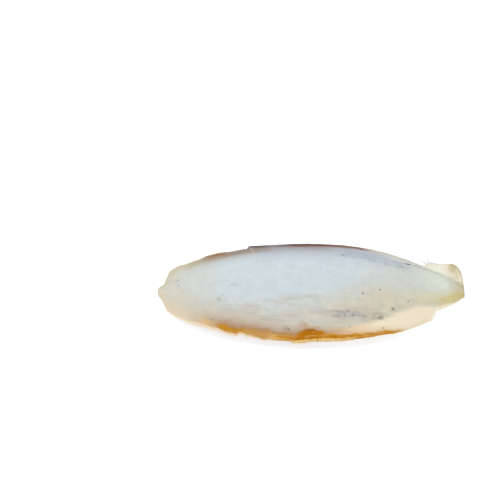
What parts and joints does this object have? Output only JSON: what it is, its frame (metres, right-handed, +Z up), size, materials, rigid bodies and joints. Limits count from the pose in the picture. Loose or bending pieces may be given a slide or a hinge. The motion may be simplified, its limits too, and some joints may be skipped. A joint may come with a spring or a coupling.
{
  "type": "cuttlebone",
  "caption": "Cuttlebone: a long chalky shell with a smooth domed back, a thin horny margin chipped along its edge, and a rounded belly that it rests on.",
  "frame": {"origin": "on the resting plane, under the middle of the shell's length and width", "axes": "+X along the shell from its blunt front tip to its pointed rear tip, +Y across it, +Z up through the domed back"},
  "size_m": [0.16, 0.0626, 0.017],
  "materials": {
    "chalk": "matte",
    "horn": "satin"
  },
  "bodies": {
    "root": {"cuttlebone": "chalk"}
  },
  "joints": []
}
